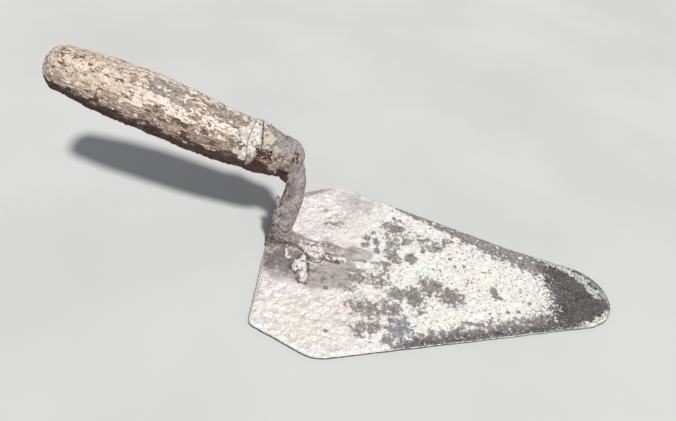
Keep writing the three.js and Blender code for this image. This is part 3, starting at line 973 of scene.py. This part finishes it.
def slanted(along, degrees):
    """Places along the axis, with the ferrule's mouth drawn back on the near underside."""
    under = rise(degrees, 50, 95) * fall(degrees, 130, 175)
    return along - MOUTH_SLANT * under * np.exp(-(((along - MOUTH) / SLANT_REACH) ** 2))


HANDLE_TURNS = 236
HANDLE_STEP = 0.42
# The rounded butt begins where the CAD wood has narrowed to the crown's radius. Points of its
# profile that are nearer to the axis than the limit belong to the bore.
CROWN_RADIUS = 12.5
BORE_LIMIT = 8
SMOOTHED_ROWS = 17
DOME_ROWS = 43
DOME_BLUNTNESS = 0.8
# Marks on the wood, for blobs, as [place along, degrees round from the top, half length, half
# degrees, strength, turn]. Places are from the middle of the ferrule.
PIT_SPOTS = [
    [103, 10, 1.4, 3, 0.2], [108, 5, 1.2, 4, 0.2, 10], [98, 22, 1.4, 3, 0.2], [104, 34, 1.6, 2.4, 0.2],
    [95, 38, 1.4, 2.4, 0.2], [110, 44, 1.8, 3, 0.3], [86, 24, 1.8, 3, 0.3], [53, 77, 2.4, 4, 0.6],
    [43, 74, 2.4, 4, 0.6], [31, 70, 2.2, 4, 0.6], [48, 66, 2.8, 3, 0.5], [26, 86, 2.6, 4, 0.5],
    [40, 86, 3, 4, 0.5], [18, 98, 4, 6, 0.6],
]
STAIN_SPOTS = [[22, 18, 11, 20, 0.9], [28, 10, 9, 14, 0.7], [57, 10, 13, 24, 0.9], [47, 28, 8, 12, 0.6]]
FLAKE_SPOTS = [
    [28, 47, 14, 14, 0.9], [45, 52, 16, 13, 0.9], [64, 46, 16, 13, 0.9], [82, 48, 16, 13, 0.7],
    [36, 88, 14, 7, 0.4], [60, 17, 5, 8, 1], [15.5, 8, 1.8, 5, 1.3], [15, 28, 2, 4, 1.3],
    [100, 24, 20, 30, 0.55], [38, -12, 60, 14, 0.5],
]
RUST_SPOTS = [[68, -6, 7, 8, 0.5], [80, -8, 8, 7, 0.5], [92, -4, 7, 8, 0.5], [104, -2, 6, 8, 0.4]]
GREEN_SPOTS = [[16.8, 72, 2.2, 13, 1.2]]
# The knot, as [place along, degrees, half length, half degrees].
KNOT = [86.5, 80, 5.5, 24]


def handle_piece(material):
    body_end = HANDLE_PROFILE[HANDLE_PROFILE[:, 0] > MOUTH]
    crown = body_end[np.argmin(np.abs(body_end[:, 1] - CROWN_RADIUS))]
    body = body_end[(body_end[:, 0] <= crown[0]) & (body_end[:, 1] > BORE_LIMIT)]
    places = np.arange(MOUTH + 0.35, crown[0], HANDLE_STEP)
    radii = np.interp(places, body[:, 0], body[:, 1])
    padded = np.pad(radii, SMOOTHED_ROWS // 2, mode="edge")
    radii = np.convolve(padded, np.ones(SMOOTHED_ROWS) / SMOOTHED_ROWS, "valid")
    swing = np.linspace(0, 1, DOME_ROWS + 1)[1:] * math.pi / 2
    dome_places = crown[0] + (BUTT - crown[0]) * np.sin(swing)
    dome_radii = radii[-1] * np.cos(swing) ** DOME_BLUNTNESS
    # The last ring is not quite a point, because it carries the cap.
    dome_radii[-1] = 0.02
    # The neck runs inside the ferrule, and its last rows are the shoulder at the ferrule's mouth.
    neck_places = [SMALL_END + 5, MOUTH - 0.5, MOUTH + 0.1, MOUTH + 0.2, MOUTH + 0.25]
    neck_radii = [9.3, 11.6, 11.9, radii[0] - 1.0, radii[0] - 0.35]
    all_places = np.concatenate([neck_places, places, dome_places])
    all_radii = np.concatenate([neck_radii, radii, dome_radii])
    along, radius, angle, degrees, core = turned_mesh(all_places, all_radii, HANDLE_TURNS)
    outside = rise(along, MOUTH + 0.2, MOUTH + 1.2)
    ragged = layered(core * [0.45, 1, 1], 3.0, 61, 4, 0.6)
    wander = layered(core, 9, 67, 3)
    grooves = layered(core * [0.16, 1, 1], 1.8, 73, 3, 0.6)

    # Pale flakes on brown wood: most at the top and the near shoulder, few low on the near side.
    flake = 1.2 * layered(core * [0.42, 1, 1], 2.0, 79, 4, 0.75) + 0.25 * wander
    flake += 0.7 * np.maximum(blobs(along, degrees, FLAKE_SPOTS), -0.2) + 0.02
    shoulder = rise(degrees, 58, 86)
    aged = rise(along, 52, 92) * fall(degrees, 60, 118)
    flake += 0.42 * aged - (0.58 - 0.05 * aged) * shoulder
    # Worm-like dark grooves between the flakes, close together near the butt.
    worm = 1 - np.abs(layered(core * [0.4, 1, 1], 2.6, 71, 3)) * 6
    butt_side = rise(along, 55, 95) * fall(np.abs(degrees - 20), 25, 65)
    row = fall(np.abs(degrees - 66), 8, 24) * fall(along, 60, 80)
    pit = worm - 1.25 + 0.75 * np.maximum(butt_side, 0.8 * row) + 0.5 * ragged
    pit = np.maximum(pit, 0.6 * blobs(along, degrees, PIT_SPOTS) + 0.7 * ragged)
    knot_reach = np.hypot((along - KNOT[0]) / KNOT[2], (degrees - KNOT[1]) / KNOT[3])
    rings = np.cos(knot_reach * 9 + 1.5 * ragged) * fall(knot_reach, 0.7, 1.3)
    pit = np.maximum(pit, 0.5 * rings - 0.35)
    butt_end = rise(along + 1.5 * ragged, crown[0] + 4, crown[0] + 9)
    # Grey stains, where there are fewer flakes, red-brown spots along the top, and painted
    # shade on the underside, in dark red-brown.
    stain = np.maximum(blobs(along, degrees, STAIN_SPOTS), 0.9 * butt_end - 0.5)
    stain = stain + 0.4 * wander + 0.45 * ragged
    flake -= 0.75 * rise(stain, 0.0, 0.4)
    red = np.maximum(blobs(along, degrees, RUST_SPOTS) * 0.8, 0) + 0.15 * ragged
    round_turn = degrees % 360
    # Painted shade on the underside, past the light's edge.
    under = rise(round_turn + 14 * ragged, 84, 122) * fall(round_turn, 290, 330)
    brown = np.clip(np.maximum(red, 1.2 * under) + 0.25 * shoulder, 0, 1)
    # Mortar film on the wood next to the ferrule: a broad patch on the near side, and a rim.
    patch = fall(along - 2.2 * ragged, MOUTH + 1, MOUTH + 11) * fall(np.abs(degrees - 62), 30, 55)
    rim = fall(along - 1.5 * ragged, MOUTH + 1, MOUTH + 4) * fall(np.abs(degrees), 80, 115)
    film = np.maximum(patch, 0.8 * rim)
    film = np.maximum(film, 0.5 * butt_end)
    green = np.clip(blobs(along, degrees, GREEN_SPOTS), 0, 1)
    flaked = rise(flake, -0.1, 0.35)
    relief = 0.22 * wander + 0.30 * grooves + 0.2 * ragged + 0.4 * flaked - 0.2
    relief -= 0.7 * rise(pit, -0.05, 0.4) + 0.15 * rise(stain, 0.1, 0.4) - 0.3 * rings
    relief = (relief + 0.3 * film) * outside + swelling(along, angle)
    fade = np.clip(radius / 6, 0, 1)
    points = turned_points(slanted(along, degrees), radius + relief * fade, angle)
    faces = turned_faces(len(all_places), HANDLE_TURNS)
    last = (len(all_places) - 1) * HANDLE_TURNS
    faces.append(tuple(range(last, last + HANDLE_TURNS))[::-1])
    faces.append(tuple(range(HANDLE_TURNS)))
    masks = {
        "wood_marks": columns(half(pit), half(stain), half(flake)),
        "wood_tint": columns(brown, half(2 * film - 1), green),
        "wood_more": columns(aged, 0 * aged, 0 * aged),
        "grain_place": core * MM,
    }
    add_piece("handle_wood", points, faces, material, "wood", "handle", masks=masks)


FERRULE_TURNS = 220
FERRULE_STEP = 0.36
# Marks on the ferrule, in the form of the marks on the wood.
FERRULE_FILM_SPOTS = [[7.5, 40, 4.8, 40, 0.75], [6.5, -20, 4, 60, 0.4], [-1, 36, 4.4, 20, 0.5]]
BEIGE_SPOTS = [[-6, 84, 16, 36, 1.4]]
YELLOW_SPOTS = [[-1, 36, 5, 26, 1.6]]
NOTCHES = [
    [-3, 62, 3.4, 3, 0.9], [0.5, 70, 3.6, 3, 0.9], [-1, 78, 4, 3, 0.8], [2.5, 62, 2.4, 3, 0.8],
    [-5, 74, 3, 3, 0.6],
]
# Degrees at which the rust and painted shade of the near underside begin, at places along the axis.
RUST_AND_SHADE_LIMIT = [[-14, -10, -6, -3, 0, 3, 5, 9.3], [120, 114, 102, 91, 83, 80, 90, 112]]
FAR_RUST_AND_SHADE_LIMIT = 120
# How far the seam before the plain band strays along the axis, at degrees round it.
SEAM_STRAY = [[-10, 20, 45, 75], [2.4, 1.0, -0.8, -2.4]]


def ferrule_piece(material):
    sleeve = np.arange(SMALL_END - 1.5, MOUTH - 0.3, FERRULE_STEP)
    start = sleeve[0]
    small, wide = FERRULE_PROFILE[0, 1], FERRULE_PROFILE[-1, 1]
    # The small end's edge has a row close beside it, so that the sleeve's shading ends crisply.
    opening = [[start, small - 1.0], [start, small], [start + 0.03, small]]
    wall = columns(sleeve[1:], np.interp(sleeve[1:], *FERRULE_PROFILE.T))
    lip = [[MOUTH - 0.12, wide - 0.1], [MOUTH, wide - 0.5], [MOUTH, wide - 1.6], [MOUTH - 3, wide - 1.7]]
    places, radii = np.vstack([opening, wall, lip]).T
    along, radius, angle, degrees, core = turned_mesh(places, radii, FERRULE_TURNS)
    ragged = layered(core, 2.6, 81, 4, 0.6)
    wander = layered(core, 8, 87, 3)
    # Rust on the underside, with painted shade where the surface turns from the light.
    rust_and_shade = (degrees - np.interp(along, *RUST_AND_SHADE_LIMIT)) / 14 + 0.6 * ragged
    rust_and_shade = np.where(np.abs(degrees) > 150, 1.0, rust_and_shade)
    rust_and_shade = np.where(degrees < 0, (-degrees - FAR_RUST_AND_SHADE_LIMIT) / 14 + 0.6 * ragged, rust_and_shade)
    film = blobs(along, degrees, FERRULE_FILM_SPOTS) + 0.3 * wander + 0.6 * ragged
    yellow = np.clip(blobs(along, degrees, YELLOW_SPOTS), 0, 1)
    beige = np.clip(blobs(along, degrees, BEIGE_SPOTS) + 0.3 * wander, 0, 1)
    pits = blobs(along + 1.5 * wander, degrees + 6 * ragged, NOTCHES) + 0.7 * ragged
    groove = GROOVE + np.interp(degrees, *SEAM_STRAY)
    seam = 1 - np.abs(along - groove - 0.5 * wander) / 0.34
    seam = (1.2 * seam + 0.9 * ragged) * fall(np.abs(degrees - 28), 30, 60)
    pits = np.maximum(pits, seam - 0.2)
    crust = 1 - rise(rust_and_shade, -0.2, 0.3)
    filmed = rise(film, 0.0, 0.4)
    relief = 0.25 * crust + 0.15 * wander + 0.22 * ragged + 0.35 * filmed
    relief = relief - 0.7 * rise(pits, 0.1, 0.6)
    relief += 0.5 * yellow * ragged
    relief = relief * fall(along, MOUTH - 0.6, MOUTH - 0.05) + swelling(along, angle)
    points = turned_points(slanted(along, degrees), radius + relief, angle)
    faces = turned_faces(len(places), FERRULE_TURNS)
    faces.extend(bridged(0, (len(places) - 1) * FERRULE_TURNS, FERRULE_TURNS))
    masks = {
        "crust_marks": columns(half(rust_and_shade), half(film), half(pits)),
        # The third share is painted shade in the hollows of the relief.
        "crust_tint": columns(beige, yellow, 0.6 * fall(ragged, -0.8, -0.35)),
    }
    add_piece("ferrule_crusted", points, faces, material, "ferrule_steel", "ferrule", masks=masks)


# ---- shank, weld and mortar


def crust_over(piece, seed, rough, marks):
    """Roughens a fused piece along its normals and stores its marks."""
    mesh = piece.data
    points, normals = points_of(mesh), normals_of(mesh)
    shift = rough(points, normals, seed)
    move_points(mesh, points + normals * shift[:, None])
    for key, maker in marks.items():
        write_mask(mesh, key, maker(points, normals))


def draw_in(piece):
    """Draws the near side of the foot in, where it narrows towards the blade."""
    points = points_of(piece.data)
    x, y, z = points.T
    share = 0.75 * fall(x, 6, 17) * fall(z, 5, 13)
    points[:, 1] += share * np.clip(-1.6 - y, 0, None)
    move_points(piece.data, points)


FOLD_TURN = 0.62


def fold_height(points):
    """The diagonal folds of mortar round the foot, as a wave from -1 in a valley to 1 on a crest."""
    x, y, z = points.T
    phase = 2.4 * z + 1.5 * x - 1.0 * y + 5.0 * layered(points, 7, 93, 3, 0.6)
    return np.cos(phase * FOLD_TURN)


# The sandy patch on the elbow and the pits in it, in the form of the marks on the wood, and the
# height over which they show.
ELBOW_BOTTOM = 62
ELBOW_SAND = [[SMALL_END - 9.0, 52, 4.4, 28, 1]]
ELBOW_PITS = [
    [SMALL_END - 7.6, 38, 1.3, 6, 0.5], [SMALL_END - 9.6, 52, 1.2, 6, 0.6],
    [SMALL_END - 10.6, 66, 1, 8, 0.6], [SMALL_END - 7.6, 62, 1, 5, 0.4],
]
# How far the crust stands out on the right and on the left of the riser, at heights up it.
RIGHT_CRUST = [[0, 11, 20, 30, 40, 47, 52, 60, 66], [0, 0.2, 1.3, 2.0, 1.6, 1.2, 1.0, 0.6, 0.4]]
LEFT_CRUST = [
    [0, 10, 20, 26, 33, 38, 47, 52, 56, 62],
    [0.0, 0.0, 0.2, 0.8, 0.6, -0.1, -0.8, -1.0, -0.5, 0.2],
]
ROPE_TURN = 38


def roped(points):
    """Points turned and squeezed, so that the ridges of noise over them wind round the shank."""
    return points @ np.array(Matrix.Rotation(math.radians(ROPE_TURN), 3, "Y")) * [1, 1, 0.35]


def shank_relief(points, normals, seed):
    """Roughness of the crusted shank: diagonal folds near its foot, and crust that thickens and
    thins up the riser."""
    x, _, z = points.T
    low = fall(z, 12, 38) * fall(x, 3, 9)
    right = rise(normals[:, 0], -0.5, 0.5)
    fuller = right * np.interp(z, *RIGHT_CRUST) + (1 - right) * np.interp(z, *LEFT_CRUST)
    fuller *= fall(x, 9, 15)
    fibres = layered(roped(points), 2.6, seed + 5, 3, 0.6)
    uneven = 0.25 * layered(points, 6, seed + 9, 3) + (0.32 + 0.18 * low) * fibres
    return fuller + uneven + 0.4 * low * fold_height(points)


def axis_angles(points):
    """Places along the handle's axis, and degrees round it: 0 is up, 90 is near."""
    reach = points - FERRULE_MIDDLE
    return reach @ AXIS, np.degrees(np.arctan2(reach @ NEAR, reach @ UP))


def shank_marks(points, normals):
    """Rust and painted shade under the elbow, pale film on the level parts of the foot, and pits on the
    elbow.
    """
    x, _, z = points.T
    ragged = layered(points, 3, 95, 4, 0.6)
    along, around = axis_angles(points)
    # Rust and painted shade on the elbow's underside.
    under = rise(np.abs(around), 100, 122) * rise(z, 52, 60) * fall(x, -1, 4)
    rust_and_shade = 2 * under - 1 + 0.6 * ragged
    film = -0.8 + 0.8 * rise(x, 5, 12) * rise(normals[:, 2], 0.5, 0.95) + 0.6 * ragged
    fine = layered(points, 1.7, 96, 3, 0.6)
    pits = np.minimum(blobs(along + 1.2 * ragged, around + 9 * fine, ELBOW_PITS), 0.3)
    pits = np.where(z > ELBOW_BOTTOM, pits, -1) + 0.45 * ragged + 0.6 * fine
    return columns(half(rust_and_shade), half(film), half(pits))


def shank_tints(points, normals):
    """Beige near the elbow, no yellow, and painted shade in the folds' valleys and on the riser's
    left side, with dark strands and darker at the foot's base.
    """
    x, y, z = points.T
    low = fall(z, 14, 40) * fall(x, 3, 9)
    broken = layered(points, 3.4, 98, 3, 0.6)
    # Painted shade in the valleys of the folds.
    shade_and_dark_spots = 0.85 * low * rise(-fold_height(points) + 0.9 * broken, 0.35, 1.0)
    strands = layered(roped(points), 1.7, 97, 3, 0.6)
    shade_and_dark_spots = np.maximum(shade_and_dark_spots, 0.6 * fall(strands, -0.5, -0.1))
    base = fall(z, 4.5, 7.5) * fall(y, -2.5, -0.5) * fall(x, 1, 6)
    # Painted shade on the riser's left side, which faces away from the light.
    left = fall(normals[:, 0], -0.9, -0.1) * rise(z, 8, 16)
    shade_and_dark_spots = np.clip(np.maximum(shade_and_dark_spots, 0.5 * base) + 0.4 * left, 0, 1)
    along, around = axis_angles(points)
    beige = blobs(along, around, BEIGE_SPOTS) * rise(z, 54, 62) + 0.3 * layered(points, 7, 99, 2)
    beige = np.maximum(beige, blobs(along, around, ELBOW_SAND) * (z > ELBOW_BOTTOM))
    return columns(np.clip(beige, 0, 1), np.zeros(len(x)), shade_and_dark_spots)


# Mortar in the angle under the elbow and round the foot, as [x, y, z, half x, half y, half z, turn].
SHANK_LUMPS = [
    [0.4, 0.2, 61.0, 5.6, 7.0, 7.0], [-5.8, 0.4, 66.0, 6.5, 8.8, 6.8],
    [-11.5, 0.6, 69.4, 6.0, 9.6, 6.6], [-5.8, 0.5, 7, 2.0, 5.0, 6.0],
    [7.6, -1.6, 10.5, 4.4, 2.6, 3.6, -12], [9.5, 3.6, 6.0, 7.5, 2.6, 4.4, -10],
    [8.6, -3.0, 4.4, 2.8, 1.9, 2.6, 10], [12.4, -2.6, 4.8, 2.4, 2.0, 2.2, -15],
    [-4.3, -2.2, 39.6, 0.8, 1.4, 3.4], [-3.2, -2.0, 33, 2.0, 3.0, 3.6],
    [-3.4, -1.6, 27, 2.4, 4.0, 6.0],
]


def shank_piece(material):
    """The forged shank with the mortar that clings to it."""
    shapes = [cad_shape("shank")] + [lump(*row) for row in SHANK_LUMPS]
    piece = fused_piece("shank_crusted", shapes, 0.62, material, 3)
    crust_over(piece, 91, shank_relief, {"crust_marks": shank_marks, "crust_tint": shank_tints})
    draw_in(piece)
    settle(piece, "shank_steel", "shank")


def weld_relief(points, normals, seed):
    return 0.35 * layered(points, 3, seed, 3)


def weld_marks(points, normals):
    """Hardly any rust or pits, and a pale film on the level parts away from the foot."""
    level = rise(normals[:, 2], 0.8, 0.97) * fall(points[:, 0], 26, 38)
    film = half(-0.8 + 0.9 * level + 0.5 * layered(points, 4, 103, 4, 0.6))
    return columns(np.full(len(points), 0.1), film, np.full(len(points), 0.2))


def weld_tints(points, normals):
    """No beige or yellow; dark spots, darker at the foot's base, and painted shade on the bead's far
    side.
    """
    x, y, _ = points.T
    shade_and_dark_spots = 0.6 * fall(layered(points, 3, 105, 3), -0.7, -0.1)
    shade_and_dark_spots = np.maximum(shade_and_dark_spots, 0.6 * fall(x, 1, 6) * fall(y, -2.5, -0.5))
    # Painted shade on the far side, which faces away from the light.
    shade_and_dark_spots = np.maximum(shade_and_dark_spots, 0.45 * rise(normals[:, 1], 0.35, 0.8))
    shade_and_dark_spots *= fall(x, 30, 42)
    return columns(0 * shade_and_dark_spots, 0 * shade_and_dark_spots, shade_and_dark_spots)


# How far the bead's end sinks into the mortar film, and the lowest that it may go.
WELD_SINK = 3.2
WELD_FLOOR = 0.6


def weld_piece(material):
    piece = fused_piece("rib_weld_bead", [cad_shape("rib_weld")], 0.4, material, 2)
    crust_over(piece, 101, weld_relief, {"crust_marks": weld_marks, "crust_tint": weld_tints})
    draw_in(piece)
    points = points_of(piece.data)
    sunk = points[:, 2] - WELD_SINK * rise(points[:, 0], 30, 50)
    points[:, 2] = np.maximum(sunk, np.minimum(points[:, 2], WELD_FLOOR))
    move_points(piece.data, points)
    settle(piece, "shank_steel", "rib_weld")


def mortar_marks(points, normals):
    # Painted shade on the downward faces, and dark spots from noise.
    shade_and_dark_spots = np.clip(-0.4 - normals[:, 2] + 0.3 * layered(points, 2, 121, 2), 0, 1)
    shade_and_dark_spots = np.maximum(shade_and_dark_spots, 0.75 * rise(layered(points, 3.4, 123, 4, 0.6), 0.05, 0.6))
    # The second share is painted light on the upward faces.
    return columns(shade_and_dark_spots, rise(normals[:, 2], 0.4, 1.0), shade_and_dark_spots)


def mortar_relief(points, normals, seed):
    return 0.65 * layered(points, 3.4, seed, 4, 0.6)


# The lumps of each mortar node, as [x, y, height over the face, half x, half y, half z, turn].
LONG_LOBE = [
    [16.8, -8.4, 3.0, 1.8, 2.8, 2.2], [15.9, -11.8, 2.6, 2.3, 2.8, 2.2],
    [13.8, -15.4, 2.2, 3.7, 3.4, 2.5, 15], [12.4, -19.0, 1.6, 3.0, 3.4, 2.1, 15],
    [17.0, -18.0, 1.9, 2.4, 4.0, 2.1, 10], [16.4, -23.2, 1.4, 2.7, 3.4, 1.9, 15],
    [18.6, -25.4, 1.4, 1.6, 3.6, 1.7, 10], [17.8, -28.2, 0.8, 2.2, 1.6, 1.3],
]
SHORT_LOBE = [
    [16.4, -4.2, 4.4, 2.6, 2.6, 2.4], [20.4, -4.6, 5.0, 3.6, 3.0, 2.2],
    [25.0, -4.8, 4.8, 3.0, 2.8, 2.1, 10], [19.6, -7.8, 2.8, 2.5, 2.4, 2.4],
    [23.4, -8.4, 2.4, 2.8, 2.5, 2.4, 10], [26.8, -6.8, 2.8, 1.9, 2.6, 2.5, -20],
    [22.5, -3.5, 2.6, 6.0, 2.6, 2.6],
]
STREAK = [
    [
        31 + 2.4 * k, -6.9 - 0.6 * math.sin(1.3 * k), 1.5 - 0.1 * k,
        2.2, 1.6 - 0.1 * k, 1.5 - 0.1 * k, 9 * k - 12,
    ]
    for k in range(6)
]
HEEL_FOLD = [
    [4.6, -3.8, 2.0, 1.1, 3.4, 2.0, -8], [5.3, -8.6, 0.9, 0.9, 3.0, 1.3, -6],
    [7.2, -10.6, 0.5, 1.7, 0.8, 0.9, 25],
]


def mortar_piece(name, node, rows, material, seed):
    shapes = [lump(x, y, BLADE_THICKNESS + height, *rest) for x, y, height, *rest in rows]
    piece = fused_piece(name, shapes, 0.35, material, 2)
    crust_over(piece, seed, mortar_relief, {"lump_marks": mortar_marks})
    settle(piece, "mortar", node)


def mortar_pieces(material):
    mortar_piece("mortar_long_lobe_rough", "mortar_long_lobe", LONG_LOBE, material, 131)
    mortar_piece("mortar_short_lobe_rough", "mortar_short_lobe", SHORT_LOBE, material, 137)
    mortar_piece("mortar_streak_rough", "mortar_streak", STREAK, material, 141)
    mortar_piece("mortar_heel_fold_rough", "mortar_heel_fold", HEEL_FOLD, material, 147)


# ---- floor, light, camera


# Half the floor's width, in metres.
FLOOR_REACH = 4.0


def floor_piece():
    f = Finish("pale_floor")
    place = f.place()
    cloud = f.noise(place, 160, 3, 0.5)
    colour = f.grade(cloud, 0.3, 0.7, (196, 197, 196), (203, 204, 203))
    normal = f.bump(f.noise(place, 3, 2), 0.05, 0.3)
    mesh = bpy.data.meshes.new("floor")
    corners = [(x * FLOOR_REACH, y * FLOOR_REACH, 0) for x, y in ((-1, -1), (1, -1), (1, 1), (-1, 1))]
    mesh.from_pydata(corners, [], [(0, 1, 2, 3)])
    mesh.materials.append(f.finish(colour, 0.9, normal, 0.0, 0.2))
    floor = placed("floor", mesh)


def falling(x, y, drop):
    """A direction that heads along x, y and falls by an angle below the level."""
    return Vector((x * math.cos(drop), y * math.cos(drop), -math.sin(drop)))


# Light travels away from the camera and a little to the left, steeply down.
SUN_HEADING = 113
SUN_FALL = 54
SUN_SOFTNESS = 5
SUN_STRENGTH = 3.7
SKY_STRENGTH = 0.3


def lights():
    heading = math.radians(SUN_HEADING)
    travel = falling(math.cos(heading), math.sin(heading), math.radians(SUN_FALL))
    lamp = bpy.data.lights.new("key", "SUN")
    lamp.energy = SUN_STRENGTH
    lamp.angle = math.radians(SUN_SOFTNESS)
    lamp.color = (1.0, 0.985, 0.96)
    key = placed("key", lamp)
    key.rotation_mode = "QUATERNION"
    key.rotation_quaternion = travel.to_track_quat("-Z", "Y")
    world = bpy.data.worlds.new("studio")
    world.use_nodes = True
    sky = world.node_tree.nodes["Background"]
    sky.inputs["Color"].default_value = (0.93, 0.96, 1.0, 1)
    sky.inputs["Strength"].default_value = SKY_STRENGTH
    bpy.context.scene.world = world
    bpy.context.scene.view_settings.view_transform = "Standard"


# The camera stands in front of the blade's wide side and looks down across it.
CAMERA_PLACE = (22.1, -281.9, 278.3)
CAMERA_FALL = 40.5
CAMERA_HEADING = 2.15
CAMERA_ROLL = -9.65
CAMERA_LENS = 33.02


def camera():
    heading, roll = math.radians(CAMERA_HEADING), math.radians(CAMERA_ROLL)
    forward = falling(math.sin(heading), math.cos(heading), math.radians(CAMERA_FALL))
    right = Vector((math.cos(heading), -math.sin(heading), 0))
    down = forward.cross(right)
    side = math.cos(roll) * right + math.sin(roll) * down
    below = math.cos(roll) * down - math.sin(roll) * right
    lens = bpy.data.cameras.new("camera")
    lens.lens = CAMERA_LENS
    lens.clip_start = 0.01
    view = placed("camera", lens)
    turn = Matrix((side, -below, -forward)).transposed()
    view.matrix_world = Matrix.LocRotScale(Vector(CAMERA_PLACE) * MM, turn, None)
    bpy.context.scene.camera = view


# ---- scene

camera()
lights()
floor_piece()
blade_piece(film_finish())
handle_piece(wood_finish())
ferrule_piece(crusted_steel_finish("crusted_ferrule"))
crusted = crusted_steel_finish("crusted_steel")
shank_piece(crusted)
weld_piece(crusted)
mortar_pieces(lump_finish())
